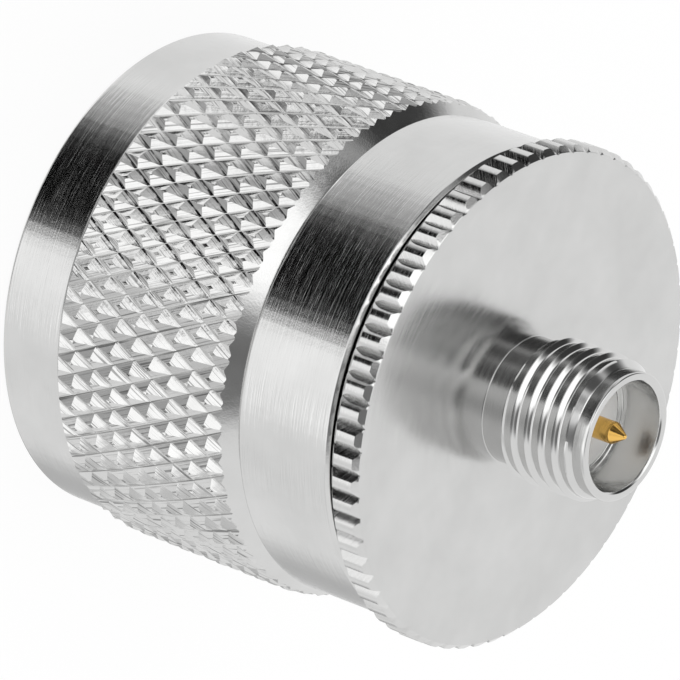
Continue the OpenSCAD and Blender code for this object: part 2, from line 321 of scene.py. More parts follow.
class NodeSheet:
    """A node tree with short ways to add and join its nodes."""

    def __init__(self, tree: bpy.types.NodeTree) -> None:
        """Empties the tree and keeps it.

        Args:
            tree: The node tree to fill.
        """
        self.tree = tree
        tree.nodes.clear()

    def add(self, kind: str, inputs: dict | None = None, **settings: object) -> bpy.types.Node:
        """Adds a node.

        Args:
            kind: Blender's name of the node type.
            inputs: Values or sockets for its inputs, by name or number.
            settings: Values for its own properties.

        Returns:
            The new node.
        """
        node = self.tree.nodes.new(kind)
        for name, value in settings.items():
            setattr(node, name, value)
        for name, value in (inputs or {}).items():
            if isinstance(value, bpy.types.NodeSocket):
                self.tree.links.new(value, node.inputs[name])
            else:
                node.inputs[name].default_value = value
        return node

    def noise(
        self, place: bpy.types.NodeSocket, scale: Colour, detail: float = 2.0
    ) -> bpy.types.NodeSocket:
        """Noise over coordinates, stretched by a scale along each axis.

        Args:
            place: The coordinates.
            scale: Waves for each metre along the three axes.
            detail: Octaves of finer noise.

        Returns:
            The socket that gives the noise, from 0 to 1.
        """
        mapping = self.add("ShaderNodeMapping", {"Vector": place, "Scale": scale})
        noise = self.add(
            "ShaderNodeTexNoise", {"Vector": mapping.outputs["Vector"], "Scale": 1.0, "Detail": detail}
        )
        return noise.outputs["Fac"]

    def marked_place(self, place: bpy.types.NodeSocket, slant: float) -> bpy.types.NodeSocket:
        """Coordinates whose third axis runs across the marks of a tool.

        The first two axes are x and y. Across turning marks the third is the distance from the axis
        plus z. Across marks that climb round a wall it is the way round times the cosine of their
        slant plus z times its sine.

        Args:
            place: Object coordinates.
            slant: Angle between the marks and the axis, in degrees, or 0 for turning marks.

        Returns:
            The socket that gives the new coordinates.
        """
        parts = self.add("ShaderNodeSeparateXYZ", {"Vector": place})
        if slant:
            turn = self.add(
                "ShaderNodeMath",
                {0: parts.outputs["Y"], 1: parts.outputs["X"]},
                operation="ARCTAN2",
            )
            way, climb = WALL * math.cos(math.radians(slant)), math.sin(math.radians(slant))
            out = self.add("ShaderNodeMath", {0: turn.outputs[0], 1: way}, operation="MULTIPLY")
        else:
            flat = self.add("ShaderNodeVectorMath", {0: place, 1: (1.0, 1.0, 0.0)}, operation="MULTIPLY")
            out = self.add("ShaderNodeVectorMath", {0: flat.outputs["Vector"]}, operation="LENGTH")
            climb = 1.0
        across = self.add(
            "ShaderNodeMath",
            {0: parts.outputs["Z"], 1: climb, 2: out.outputs["Value"]},
            operation="MULTIPLY_ADD",
        )
        joined = self.add(
            "ShaderNodeCombineXYZ",
            {"X": parts.outputs["X"], "Y": parts.outputs["Y"], "Z": across.outputs["Value"]},
        )
        return joined.outputs["Vector"]

    def between(self, value: bpy.types.NodeSocket, low: float, high: float) -> bpy.types.NodeSocket:
        """Spreads the middle of a noise over a range of numbers."""
        spread = self.add(
            "ShaderNodeMapRange",
            {"Value": value, "From Min": 0.3, "From Max": 0.7, "To Min": low, "To Max": high},
        )
        return spread.outputs["Result"]

    def blended(self, value: bpy.types.NodeSocket, low: Colour, high: Colour) -> bpy.types.NodeSocket:
        """Blends two colours by a noise."""
        share = self.between(value, 0.0, 1.0)
        mix = self.add("ShaderNodeMix", {"Factor": share}, data_type="RGBA")
        mix.inputs["A"].default_value = (*low, 1.0)
        mix.inputs["B"].default_value = (*high, 1.0)
        return mix.outputs["Result"]


@dataclass(frozen=True)
class Plate:
    """A plated, turned metal finish.

    Attributes:
        name: Name of the material.
        dull: Colour in the duller clouds of the plate.
        bright: Colour in the brighter ones.
        smooth: Least roughness.
        rough: Greatest roughness.
        turning: Height of the turning marks, in metres.
        marks: Turning marks for each metre across them.
        dents: Height of the dents, in metres.
        dent_size: Dents for each metre.
        slant: Angle between the marks and the axis, in degrees, or 0 for turning marks.
        painted_mark_shade: Share of the colour taken off in the deepest marks, as painted shade in them.
    """

    name: str
    dull: Colour
    bright: Colour
    smooth: float
    rough: float
    turning: float
    marks: float = 17000.0
    dents: float = 3e-7
    dent_size: float = 9000.0
    slant: float = 0.0
    painted_mark_shade: float = 0.0

    def material(self) -> bpy.types.Material:
        """Metal with clouds in its colour, turning marks round the axis, small dents, and painted shade in
        the deepest marks where asked.

        Returns:
            The material.
        """
        material = bpy.data.materials.new(self.name)
        material.use_nodes = True
        sheet = NodeSheet(material.node_tree)
        place = sheet.add("ShaderNodeTexCoord").outputs["Object"]
        clouds = sheet.noise(place, (420.0, 420.0, 420.0), 3.0)
        marks = sheet.noise(sheet.marked_place(place, self.slant), (480.0, 480.0, self.marks), 3.0)
        dents = sheet.noise(place, (self.dent_size, self.dent_size, self.dent_size), 2.0)
        dented = sheet.add("ShaderNodeBump", {"Height": dents, "Strength": 1.0, "Distance": self.dents})
        turned = sheet.add(
            "ShaderNodeBump",
            {
                "Height": marks,
                "Strength": 1.0,
                "Distance": self.turning,
                "Normal": dented.outputs["Normal"],
            },
        )
        colour = sheet.blended(clouds, self.dull, self.bright)
        # Painted shade: the colour is darkened where the marks are deepest, as if shade lay in them.
        if self.painted_mark_shade:
            kept = sheet.add(
                "ShaderNodeMapRange",
                {
                    "Value": marks,
                    "From Min": 0.33,
                    "From Max": 0.47,
                    "To Min": 1.0 - self.painted_mark_shade,
                    "To Max": 1.0,
                },
                interpolation_type="SMOOTHSTEP",
            )
            mark_shaded = sheet.add(
                "ShaderNodeVectorMath",
                {0: colour, "Scale": kept.outputs["Result"]},
                operation="SCALE",
            )
            colour = mark_shaded.outputs["Vector"]
        metal = sheet.add(
            "ShaderNodeBsdfPrincipled",
            {
                "Base Color": colour,
                "Metallic": 1.0,
                "Roughness": sheet.between(marks, self.smooth, self.rough),
                "Normal": turned.outputs["Normal"],
            },
        )
        sheet.add("ShaderNodeOutputMaterial", {"Surface": metal.outputs["BSDF"]})
        return material


@dataclass(frozen=True)
class Moulding:
    """A plastic or rubber finish with a mottled colour and a fine grain.

    Attributes:
        name: Name of the material.
        deep: Colour in the deeper mottles.
        pale: Colour in the paler ones.
        roughness: Roughness of the surface.
        specular: Strength of the gloss, where 0.5 is that of common plastics.
        grain: Height of the grain, in metres.
    """

    name: str
    deep: Colour
    pale: Colour
    roughness: float
    specular: float
    grain: float

    def material(self) -> bpy.types.Material:
        """Mottled, lightly grained plastic or rubber.

        Returns:
            The material.
        """
        material = bpy.data.materials.new(self.name)
        material.use_nodes = True
        sheet = NodeSheet(material.node_tree)
        place = sheet.add("ShaderNodeTexCoord").outputs["Object"]
        mottle = sheet.noise(place, (900.0, 900.0, 900.0), 3.0)
        grain = sheet.noise(place, (14000.0, 14000.0, 14000.0), 2.0)
        bump = sheet.add("ShaderNodeBump", {"Height": grain, "Strength": 1.0, "Distance": self.grain})
        plastic = sheet.add(
            "ShaderNodeBsdfPrincipled",
            {
                "Base Color": sheet.blended(mottle, self.deep, self.pale),
                "Roughness": self.roughness,
                "Specular IOR Level": self.specular,
                "Normal": bump.outputs["Normal"],
            },
        )
        sheet.add("ShaderNodeOutputMaterial", {"Surface": plastic.outputs["BSDF"]})
        return material


TURNED_NICKEL = Plate(
    "turned_nickel", (0.63, 0.63, 0.625), (0.69, 0.69, 0.685), 0.1, 0.2, 7e-6, 14000.0, 2.2e-6, 12000.0
)
# The knurl's nickel loses up to 0.6 of its colour in the deepest marks, as painted shade.
ROLLED_NICKEL = [
    Plate(name, (0.64, 0.64, 0.635), (0.7, 0.7, 0.695), 0.08, 0.2, 8e-6, 13000.0, 5e-6, 4200.0, slant, 0.6)
    for name, slant in (("rolled_nickel_left", -26.1), ("rolled_nickel_right", 26.1))
]
FACE_NICKEL = Plate(
    "face_nickel", (0.62, 0.62, 0.615), (0.675, 0.675, 0.67), 0.16, 0.23, 4e-7, 9000.0, 4e-7, 6000.0
)
# Painted shade: the neck's nickel is darker than the rest of the plate, standing in for the dark reflection
# on the neck.
PAINTED_SHADE_NECK = Plate("painted_shade_neck", (0.52, 0.52, 0.515), (0.6, 0.6, 0.595), 0.12, 0.2, 1e-6)
THREAD_NICKEL = Plate("thread_nickel", (0.64, 0.64, 0.635), (0.68, 0.68, 0.675), 0.08, 0.14, 1e-6)
# Painted light: the socket's nickel is paler than the rest of the plate, to offset the shade deep in the
# socket.
PAINTED_LIGHT_SOCKET = Plate("painted_light_socket", (0.72, 0.72, 0.71), (0.78, 0.78, 0.77), 0.16, 0.24, 1.5e-6)
SPRING_STEEL = Plate("spring_steel", (0.34, 0.34, 0.35), (0.44, 0.44, 0.45), 0.25, 0.4, 2e-6, 9000.0, 8e-7)
GOLD_PLATE = Plate("gold_plate", (0.86, 0.50, 0.12), (0.95, 0.60, 0.18), 0.12, 0.2, 1e-6)
WHITE_INSULATOR = Moulding("white_insulator", (0.74, 0.74, 0.73), (0.82, 0.82, 0.81), 0.5, 0.35, 1.5e-6)
RED_SILICONE = Moulding("red_silicone", (0.42, 0.045, 0.018), (0.52, 0.065, 0.025), 0.55, 0.4, 4e-6)


# Pieces


def face_places(piece: bpy.types.Object) -> tuple[Numbers, Numbers]:
    """Distance from the axis and height of the middle of each face, in millimetres.

    Args:
        piece: The piece.

    Returns:
        The distances and the heights.
    """
    middle = np.empty(3 * len(piece.data.polygons))
    piece.data.polygons.foreach_get("center", middle)
    x, y, z = middle.reshape(-1, 3).T / MM
    return np.hypot(x, y), z


def face_tilts(piece: bpy.types.Object) -> tuple[Numbers, Numbers]:
    """Tilt of each face round the axis, in the sense of rising angles, and along it."""
    middle, normal = (np.empty(3 * len(piece.data.polygons)) for _ in range(2))
    piece.data.polygons.foreach_get("center", middle)
    piece.data.polygons.foreach_get("normal", normal)
    (x, y, _), (u, v, w) = middle.reshape(-1, 3).T, normal.reshape(-1, 3).T
    return (x * v - y * u) / np.hypot(x, y), w


def crease_band(piece: bpy.types.Object, inner: float, low: float, high: float) -> None:
    """Marks the edges of a band sharp from a smaller angle on, as facets need.

    Args:
        piece: The piece, whose other edges keep their marks.
        inner: Radius outside which the band lies.
        low: Height of the band's lower end.
        high: Height of the band's upper end.
    """
    mesh = piece.data
    place = np.empty(3 * len(mesh.vertices))
    mesh.vertices.foreach_get("co", place)
    x, y, z = place.reshape(-1, 3).T / MM
    ends = np.empty(2 * len(mesh.edges), dtype=np.int32)
    mesh.edges.foreach_get("vertices", ends)
    in_band = ((np.hypot(x, y) > inner) & (z > low) & (z < high))[ends].reshape(-1, 2).all(axis=1)
    usual, finer = (np.empty(len(mesh.edges), dtype=bool) for _ in range(2))
    mesh.edges.foreach_get("use_edge_sharp", usual)
    mesh.set_sharp_from_angle(angle=FACET_EDGE)
    mesh.edges.foreach_get("use_edge_sharp", finer)
    mesh.edges.foreach_set("use_edge_sharp", np.where(in_band, finer, usual))


def placed(piece: bpy.types.Object, body: Body, node: str) -> bpy.types.Object:
    """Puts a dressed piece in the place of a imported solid.

    Args:
        piece: The new piece.
        body: The body that it rides on.
        node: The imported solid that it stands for.

    Returns:
        The piece.
    """
    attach(piece, body.value)
    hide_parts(node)
    LOG.info("%s: %d triangles, stands for %s", piece.name, len(piece.data.polygons), node)
    return piece


def dressed(
    piece: bpy.types.Object, finishes: list[bpy.types.Material], zone: Indices | None = None
) -> bpy.types.Object:
    """Gives a piece its finishes.

    Args:
        piece: The piece.
        finishes: Its materials.
        zone: Which of them each face takes, or none where there is only one.

    Returns:
        The piece.
    """
    for finish in finishes:
        piece.data.materials.append(finish)
    if zone is not None:
        piece.data.polygons.foreach_set("material_index", zone.astype(np.int32))
    return piece


@dataclass
class Knurl:
    """A band of raised diamonds between two crossing families of valleys.

    Attributes:
        root: Radius that the heights are counted from.
        depth: Height of the diamonds' tops above that radius.
        bottom: Height of the band's lower end.
        length: Length of the band.
        starts: Diamonds round the band.
        rows: Half diamonds along the band.
        run_out: Where the cone at the upper end meets the valleys, above the lower end.
        lines: Where the lines of each family cross one diamond, from one valley to the next.
        rise: Height on each of these lines, as a share of the depth.
        pinch: How much nearer the second family's grooves their lips lie, in diamonds.
        floor: Height of the second family's grooves, as a share of the depth.
        burr: Height of the thin burr along the middle of these grooves, as a share of the depth.
        lean: How far each top is pushed off the diamond's middle along both families, in diamonds.
        wander: Greatest difference of that from diamond to diamond.
        crater: Mean depth of the crater in the top of each diamond.
        seed: Seed of the small differences between the diamonds.
    """

    root: float = 10.56
    depth: float = 0.3
    bottom: float = 3.25
    length: float = 9.35
    starts: int = 66
    rows: int = 9
    run_out: float = 9.13
    lines: tuple[float, ...] = (0.0, 0.06, 0.39, 0.42, 0.5, 0.58, 0.61, 0.94)
    rise: tuple[float, ...] = (0.38, 0.42, 0.96, 1.0, 1.0, 1.0, 0.96, 0.42)
    pinch: float = 0.03
    floor: float = 0.35
    burr: float = 0.46
    lean: tuple[float, float] = (0.09, 0.015)
    wander: float = 0.03
    crater: float = 0.08
    seed: int = 11

    @property
    def columns(self) -> int:
        """Points round the band."""
        return self.starts * len(self.lines)

    @property
    def levels(self) -> int:
        """Rows of points along the band, both ends included."""
        return self.rows * len(self.lines) + 1

    def along(self, line: Indices) -> Numbers:
        """Place of a numbered line, in diamonds: whole diamonds passed and the share of this one."""
        share = np.array(self.lines)
        return line // len(share) + share[line % len(share)]

    def angles(self, level: int) -> Numbers:
        """Angles of the points in one row of the band."""
        column = np.arange(self.columns)
        return (self.along(column) + self.along(column + level)) * FULL_TURN / self.starts / 2

    def points(self) -> Numbers:
        """Points of the band, where one line of each family crosses.

        Column a and row k is the crossing of line a of the first family with line a + k of the
        second: its angle follows the sum of both lines' places and its height their difference.
        It rises as far as the lower of both lines lets it, a little less on a worn diamond, and to
        the burr's height in the middle of the second family's grooves. The points of a top lean to
        one side, and its middle is a crater.

        Returns:
            The points, row after row.
        """
        count = len(self.lines)
        one = np.arange(self.columns)[None]
        two = one + np.arange(self.levels)[:, None]
        one = np.broadcast_to(one, two.shape)
        i, j, level = one % count, two % count, two // count - one // count
        inside = (np.minimum(i, j) >= 2) & (np.maximum(i, j) <= count - 2)
        chance = np.random.default_rng(self.seed).uniform(-1.0, 1.0, (4, self.starts, self.rows + 1))
        worn, sunk, *drift = chance[:, one // count, level]
        whole = inside & (level > 0) & (level < self.rows)
        first, second = (
            self.along(line) + whole * (lean + self.wander * off)
            for line, lean, off in zip((one, two), self.lean, drift)
        )
        second[1:-1] += self.pinch * ((j == count - 1) * 1.0 - (j == 1))[1:-1]
        up = (second - first) * self.length / self.rows
        rise = np.array(self.rise)
        other = np.where(rise < 0.5, self.floor, rise)
        raised = np.where(j == 0, self.burr, np.minimum(rise[i], other[j]))
        crater = whole * (i == count // 2) * (j == count // 2) * self.crater * (1.0 + 0.7 * sunk)
        height = self.depth * (0.97 + 0.03 * worn) * raised - crater
        angle = (first + second) * FULL_TURN / self.starts / 2
        return ring_points(self.root + height, angle, self.bottom + up)

    def triangles(self) -> Indices:
        """Triangles of the band, with the ridges of the diamonds along their edges.

        Returns:
            The triangles, by the numbers of the points in their order.
        """
        grid = wrapped(numbered(0, self.levels, self.columns))
        a, b, c, d = grid[1:-1, :-1], grid[:-2, 1:], grid[1:-1, 1:], grid[2:, :-1]
        lines = len(self.lines)
        column = np.arange(self.columns)[None] % lines
        second = (np.arange(self.columns)[None] + np.arange(1, self.levels - 1)[:, None]) % lines
        upright = ((column + second) % lines == lines - 1)[..., None]
        one = np.where(upright, np.stack([a, b, d], -1), np.stack([a, b, c], -1))
        two = np.where(upright, np.stack([b, c, d], -1), np.stack([a, c, d], -1))
        low = np.stack([grid[0, :-1], grid[0, 1:], grid[1, :-1]], -1)
        high = np.stack([grid[-1, :-1], grid[-2, 1:], grid[-1, 1:]], -1)
        return np.concatenate([part.reshape(-1, 3) for part in (one, two, low, high)])

    def skin(self) -> Skin:
        """The band, cut off by a cone at both ends: r - z at the lower end and r + z at the upper.

        Returns:
            The band's points, with those of both cuts after the rest, and its triangles.
        """
        band = Skin(self.points(), self.triangles())
        band = cut_to_cone(band, -1.0, self.root - self.bottom)
        return cut_to_cone(band, 1.0, self.root + self.bottom + self.run_out)


@dataclass
class CouplingNut:
    """The knurled coupling nut, with its coupling thread inside.

    Attributes:
        rim: Radius of the smooth rim.
        band: Radius of the smooth rear band.
        groove: Radius at the foot of the run-out behind the knurl.
        groove_top: Height of the rear band's lower side.
        length: Length of the nut.
        chamfer: Chamfer on the rear edge.
        bore: Radius of the lip that turns on the hub.
        lip: Height of the lip's lower side.
        undercut: Radius of the undercut behind the thread.
        minor: Radius inside the thread's crests.
        major: Radius at the bottom of the thread.
        thread_top: Height at which the thread runs out.
        edge: Set-back of the rounded edges.
    """

    rim: float = 10.44
    band: float = 10.37
    groove: float = 10.01
    groove_top: float = 12.95
    length: float = 17.65
    chamfer: float = 0.15
    bore: float = 6.4
    lip: float = 15.3
    undercut: float = 8.05
    minor: float = 7.45
    major: float = 7.95
    thread_top: float = 7.5
    edge: float = 0.05

    def outside(self, knurl: Knurl) -> tuple[Numbers, Numbers, Numbers]:
        """Profiles below and above the knurl, and inside the nut.

        Args:
            knurl: The knurled band between them.

        Returns:
            The profile from the thread's mouth to the knurl, from the knurl to the rear face, and
            from the bore to the thread's end.
        """
        e = self.edge
        knurl_top = knurl.bottom + knurl.length
        curves = rounded(
            [
                (self.major, 0.0, 0.0),
                (self.rim - 0.15, 0.0, e),
                (self.rim, 0.15, e),
                (self.rim, knurl.bottom - knurl.root + self.rim, 0.02),
                (knurl.root, knurl.bottom, 0.0),
                (knurl.root + knurl.run_out - knurl.length, knurl_top, 0.0),
                (self.groove, self.groove_top, 0.02),
                (self.band, self.groove_top, 0.05),
                (self.band, self.length - self.chamfer, 0.02),
                (self.band - self.chamfer, self.length, 0.02),
                (self.bore, self.length, 2 * e),
                (self.bore, self.lip, 2 * e),
                (self.undercut, self.lip, e),
                (self.undercut, self.thread_top + 0.1, 0.0),
                (self.major, self.thread_top, 0.0),
            ],
            3,
        )
        return profile_of(curves[:4]), profile_of(curves[6:10]), profile_of(curves[10:])

    def build(self, knurl: Knurl) -> bpy.types.Object:
        """Builds the nut as one closed skin.

        The rows run from the mouth up the outside, over the knurl and the rear band, down the
        inside to the undercut, and down the coupling thread back to the mouth.

        Args:
            knurl: The knurled band.

        Returns:
            The piece.
        """
        columns = knurl.columns
        lower, upper, inner = self.outside(knurl)
        low_angle, high_angle = knurl.angles(0), knurl.angles(knurl.levels - 1)
        inner_angle = np.repeat(high_angle[::2], 2)
        knurled = knurl.skin()
        thread = Thread(pitch=25.4 / 24, crest=0.2, flank=0.33, rows=6)
        z = thread.places(inner_angle, 0.0, self.thread_top)
        cut = self.major - (self.major - self.minor) * thread.height(inner_angle[None], z, 0.3)
        lead_in = self.major - z
        run_out = self.major - (self.thread_top - z)
        inside = np.maximum(cut, np.maximum(lead_in, run_out))
        blocks = [
            ring_points(lower[:, :1], low_angle[None], lower[:, 1:]),
            knurled.points,
            ring_points(upper[:, :1], high_angle[None], upper[:, 1:]),
            ring_points(inner[:, :1], inner_angle[None], inner[:, 1:]),
            ring_points(inside, inner_angle[None], z),
        ]
        points = np.concatenate(blocks)
        starts = np.cumsum([0] + [len(block) for block in blocks])
        below = numbered(starts[0], len(lower), columns)
        band = numbered(starts[1], knurl.levels, columns)
        above = numbered(starts[2], len(upper), columns)
        within = numbered(starts[3], len(inner), columns)
        helix = thread.grid(starts[4], len(z), columns)
        mouth = np.roll(helix[:1, :-1], columns // knurl.starts * knurl.rows // 2, axis=1)
        skins = [
            stitched(wrapped(np.concatenate([mouth, below, band[:1]])), points),
            starts[1] + knurled.triangles,
            stitched(wrapped(np.concatenate([band[-1:], above, within, helix[-1:, :-1]])), points),
            stitched(helix[::-1], points),
        ]
        piece = Skin(points, np.concatenate(skins)).to_object("knurled_nut")
        out, up = face_places(piece)
        on_knurl = (up > knurl.bottom) & (up < knurl.bottom + knurl.run_out) & (out > self.band)
        crease_band(piece, knurl.root - 0.01, knurl.bottom - 0.01, knurl.bottom + knurl.run_out)
        finishes = [finish.material() for finish in (TURNED_NICKEL, *ROLLED_NICKEL)]
        turn, rise = face_tilts(piece)
        on_facet = on_knurl & (np.abs(rise) < 0.6)
        dressed(piece, finishes, np.where(on_facet, np.where(turn * rise < 0, 1, 2), 0))
        return placed(piece, Body.NUT, "coupling_nut")


@dataclass
class AdapterBody:
    """The body: notched flange, hub and threaded jack barrel, in one turned piece.

    Attributes:
        flange: Radius over the teeth.
        flange_bottom: Height of the flange's rear face.
        face: Height of the flange's front face.
        rear_chamfer: Chamfer on the rear edge.
        front_chamfer: Chamfer on the front edge.
        notches: Notches round the flange.
        first_notch: Angle of the first notch, in degrees.
        notch: Depth of each notch.
        hub: Radius of the hub.
        hub_bottom: Height of the hub's lower end.
        ring_seat: Radius at the bottom of the snap ring's groove.
        ring_bottom: Height of the groove's lower side.
        ring_top: Height of the groove's upper side.
        neck: Radius of the neck.
        crest: Radius over the jack's thread.
        valley: Radius at the bottom of the jack's thread.
        thread_bottom: Height at which the thread starts.
        thread_top: Height at which it ends.
        nose: Radius of the plain end.
        rim: Height of the jack's rim.
        socket: Radius of the socket.
        socket_bottom: Height of the socket's bottom.
        lead: Chamfer at the socket's mouth.
        passage: Radius of the insulator's passage.
        collar: Radius of the collar's seat.
        collar_top: Height of its upper side.
        seat: Radius of the sleeve's seat.
        seat_top: Height of its upper end.
        edge: Set-back of the rounded edges.
    """

    flange: float = 10.84
    flange_bottom: float = 18.05
    face: float = 19.5
    rear_chamfer: float = 0.26
    front_chamfer: float = 0.24
    notches: int = 66
    first_notch: float = 1.7
    notch: float = 0.3
    hub: float = 6.35
    hub_bottom: float = 12.8
    ring_seat: float = 5.7
    ring_bottom: float = 14.28
    ring_top: float = 15.22
    neck: float = 2.72
    crest: float = 3.135
    valley: float = 2.93
    thread_bottom: float = 20.5
    thread_top: float = 24.2
    nose: float = 2.76
    rim: float = 24.85
    socket: float = 2.36
    socket_bottom: float = 22.85
    lead: float = 0.09
    passage: float = 2.07
    collar: float = 2.92
    collar_top: float = 16.92
    seat: float = 4.04
    seat_top: float = 15.92
    edge: float = 0.05

    def columns(self) -> tuple[Numbers, Numbers]:
        """Angles of the columns, eight for each notch, and the flange's radius there.

        The radius is the tooth's away from a notch, and falls along straight walls to the notch's
        bottom, with the edges of the teeth eased.

        Returns:
            The angles and the radii.
        """
        half = math.degrees(math.asin(self.notch / self.flange))
        step = 360.0 / self.notches
        shares = np.array([-1.12, -0.9, -0.45, 0.0, 0.45, 0.9, 1.12])
        offset = np.append(half * shares, step / 2)
        sunk = np.array([0.0, 0.13, 0.56, 1.0, 0.56, 0.13, 0.0, 0.0]) * self.notch
        angle = self.first_notch + np.arange(self.notches)[:, None] * step + offset[None]
        radius = np.broadcast_to(self.flange - sunk, angle.shape)
        return np.radians(angle).reshape(-1), radius.reshape(-1)

    def below_thread(self) -> Numbers:
        """Profile from the collar's seat down the bore, up the hub and over the flange to the thread."""
        e = self.edge
        levels = self.flange - np.array([0.0, 0.13, 0.56]) * self.notch
        rear = [(r, self.flange_bottom + self.rear_chamfer - (self.flange - r), 0.0) for r in levels[::-1]]
        front = [(r, self.face - self.front_chamfer + (self.flange - r), 0.0) for r in levels]
        curves = rounded(
            [
                (self.collar, self.collar_top, 0.0),
                (self.collar, self.seat_top, 0.0),
                (self.seat, self.seat_top, 0.0),
                (self.seat, self.hub_bottom, e),
                (self.hub, self.hub_bottom, 2 * e),
                (self.hub, self.ring_bottom, e),
                (self.ring_seat, self.ring_bottom, e),
                (self.ring_seat, self.ring_top, e),
                (self.hub, self.ring_top, e),
                (self.hub, self.flange_bottom, e),
                (self.flange - self.rear_chamfer, self.flange_bottom, 0.0),
                *rear,
                *front,
                (self.flange - self.front_chamfer, self.face, 0.03),
                (self.neck, self.face, 0.03),
                (self.neck, self.thread_bottom, 0.0),
            ],
            3,
        )
        return profile_of(curves)

    def above_thread(self) -> Numbers:
        """Profile from the thread over the plain end and into the socket to the collar's seat."""
        curves = rounded(
            [
                (self.nose + 0.02, self.thread_top, 0.0),
                (self.nose, self.thread_top + 0.02, 0.0),
                (self.nose, self.rim, 0.09),
                (self.socket + self.lead, self.rim, 0.03),
                (self.socket, self.rim - self.lead, 0.03),
                (self.socket, self.socket_bottom, 0.04),
                (self.passage, self.socket_bottom, 0.03),
                (self.passage, self.collar_top, 0.0),
                (self.collar, self.collar_top, 0.0),
            ],
        )
        return profile_of(curves[:-1])

    def build(self) -> bpy.types.Object:
        """Builds the body as one closed skin.

        The radius of each row is held inside the notched outline of the flange. The thread's rows
        climb with its helix, and its crests are cut down by a chamfer at both ends.

        Returns:
            The piece.
        """
        angle, outline = self.columns()
        count = len(angle)
        lower, upper = self.below_thread(), self.above_thread()
        thread = Thread(pitch=25.4 / 36, crest=0.1, flank=0.17, rows=12)
        z = thread.places(angle, self.thread_bottom, self.thread_top)
        cut = self.valley + (self.crest - self.valley) * thread.height(angle[None], z, self.face + 1.22)
        lead_in = self.neck + (z - self.thread_bottom) * 1.3
        end = self.nose + 0.02 + (self.thread_top - z) * 0.8
        barrel = np.minimum(cut, np.minimum(lead_in, end))
        blocks = [
            ring_points(np.minimum(lower[:, :1], outline[None]), angle[None], lower[:, 1:]),
            ring_points(barrel, angle[None], z),
            ring_points(upper[:, :1], angle[None], upper[:, 1:]),
        ]
        points = np.concatenate(blocks)
        starts = np.cumsum([0] + [len(block) for block in blocks])
        below = numbered(starts[0], len(lower), count)
        helix = thread.grid(starts[1], len(z), count)
        above = numbered(starts[2], len(upper), count)
        skins = [
            stitched(wrapped(np.concatenate([below, helix[:1, :-1]])), points),
            stitched(helix, points),
            stitched(wrapped(np.concatenate([helix[-1:, :-1], above, below[:1]])), points),
        ]
        piece = Skin(points, np.concatenate(skins)).to_object("notched_body")
        out, up = face_places(piece)
        on_face = (np.abs(up - self.face) < 0.02) & (out > self.neck)
        # The socket takes the paler nickel, as painted light against its shade.
        in_socket = (out < self.socket + 0.02) & (up > self.socket_bottom - 0.1)
        on_jack = (up > self.face + 0.02) & ~in_socket
        # The neck takes the darker nickel, as painted shade.
        on_neck = on_jack & (up < self.thread_bottom)
        zone = np.select([on_face, on_neck, on_jack, in_socket], [1, 2, 3, 4], 0)
        finishes = [TURNED_NICKEL, FACE_NICKEL, PAINTED_SHADE_NECK, THREAD_NICKEL, PAINTED_LIGHT_SOCKET]
        dressed(piece, [finish.material() for finish in finishes], zone)
        return placed(piece, Body.ADAPTER, "adapter_body")


@dataclass
class Contacts:
    """The plug's contact sleeve and the centre contact that runs through the adapter.

    Attributes:
        sleeve: Outer radius of the sleeve.
        sleeve_bore: Inner radius of the sleeve.
        sleeve_bottom: Height of the sleeve's front.
        sleeve_top: Height of its inner end.
        bevel: Length of the bevel at its front.
        plug_tip: Height of the tip of the plug's pin.
        plug_pin: Radius of the plug's pin.
        shank: Radius of the shank behind it.
        shank_bottom: Height of the shank's lower end.
        shank_top: Height of its upper end.
        stem: Radius of the stem.
        stem_top: Height of the stem's upper end.
        jack_pin: Radius of the jack's pin.
        jack_tip: Height of its tip.
        jack_point: Length of its point.
        blunt: Radius of the blunt ends.
    """

    sleeve: float = 4.02
    sleeve_bore: float = 3.52
    sleeve_bottom: float = 2.2
    sleeve_top: float = 15.9
    bevel: float = 0.7
    plug_tip: float = 3.4
    plug_pin: float = 0.825
    shank: float = 1.52
    shank_bottom: float = 9.0
    shank_top: float = 15.08
    stem: float = 0.635
    stem_top: float = 22.43
    jack_pin: float = 0.475
    jack_tip: float = 24.85
    jack_point: float = 0.6
    blunt: float = 0.08

    def build(self) -> list[bpy.types.Object]:
        """Builds the sleeve and the centre contact.

        Returns:
            Both pieces.
        """
        sleeve = rounded(
            [
                (self.sleeve_bore, self.sleeve_bottom, 0.05),
                (self.sleeve - 0.25, self.sleeve_bottom, 0.05),
                (self.sleeve, self.sleeve_bottom + self.bevel, 0.1),
                (self.sleeve, self.sleeve_top, 0.03),
                (self.sleeve_bore, self.sleeve_top, 0.03),
            ]
        )
        contact = rounded(
            [
                (0.0, self.plug_tip, 0.0),
                (self.blunt, self.plug_tip, 0.04),
                (self.plug_pin, self.plug_tip + 0.6, 0.12),
                (self.plug_pin, self.shank_bottom, 0.05),
                (self.shank, self.shank_bottom, 0.08),
                (self.shank, self.shank_top, 0.03),
                (self.stem, self.shank_top, 0.03),
                (self.stem, self.stem_top, 0.03),
                (self.jack_pin, self.stem_top, 0.02),
                (self.jack_pin, self.jack_tip - self.jack_point, 0.04),
                (self.blunt, self.jack_tip, 0.04),
                (0.0, self.jack_tip, 0.0),
            ]
        )
        outer = turned_skin(sleeve).to_object("contact_sleeve")
        inner = turned_skin(contact, 96).to_object("centre_pin")
        inner.visible_glossy = False
        return [
            placed(dressed(outer, [TURNED_NICKEL.material()]), Body.ADAPTER, "outer_contact"),
            placed(dressed(inner, [GOLD_PLATE.material()]), Body.ADAPTER, "centre_contact"),
        ]


